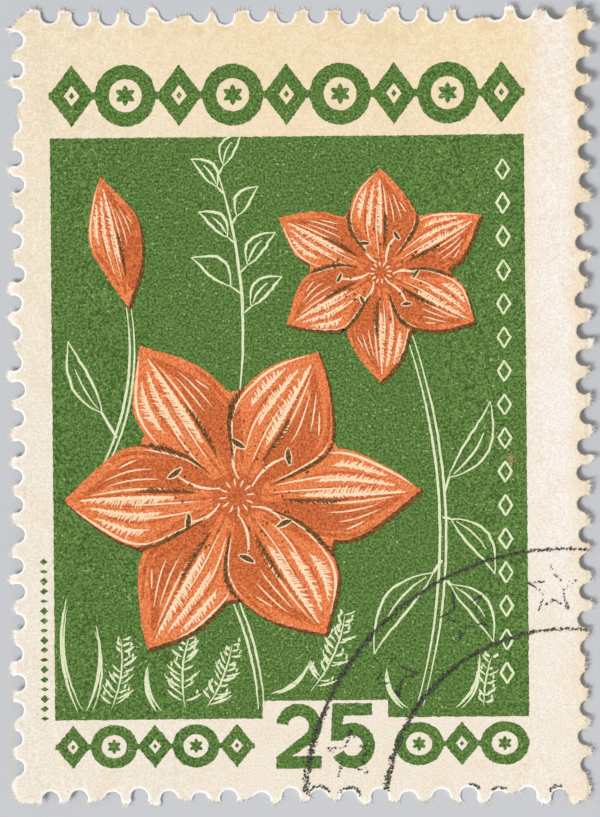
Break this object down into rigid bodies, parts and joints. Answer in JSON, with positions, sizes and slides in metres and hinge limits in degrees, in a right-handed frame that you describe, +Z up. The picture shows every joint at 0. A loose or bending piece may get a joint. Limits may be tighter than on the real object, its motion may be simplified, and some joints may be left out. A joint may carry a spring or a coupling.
{
  "type": "postage stamp",
  "caption": "Used perforated postage stamp lying face up: gently curled paper sheet with torn teeth, printed flower panel, ornament borders, plain value figures and part of a round postmark.",
  "frame": {"origin": "middle of the underside's flat strip, which is the bottom centre of the stamp's box", "axes": "+X to the stamp's right, +Y to its head, +Z up out of its printed face"},
  "size_m": [0.0282, 0.0384, 0.0005],
  "materials": {
    "paper": "matte",
    "green_ink": "matte",
    "orange_ink": "matte",
    "rust_ink": "matte",
    "postmark_ink": "matte"
  },
  "bodies": {
    "root": {"paper_sheet": "paper", "green_panel": "green_ink", "upper_border": "green_ink", "lower_border_left": "green_ink", "lower_border_right": "green_ink", "numeral_2": "green_ink", "numeral_5": "green_ink", "large_bloom_petals": "orange_ink", "large_bloom_shading": "rust_ink", "small_bloom_petals": "orange_ink", "small_bloom_shading": "rust_ink", "bud_petals": "orange_ink", "bud_shading": "rust_ink", "postmark_outer_ring": "postmark_ink", "postmark_inner_ring": "postmark_ink"}
  },
  "joints": []
}
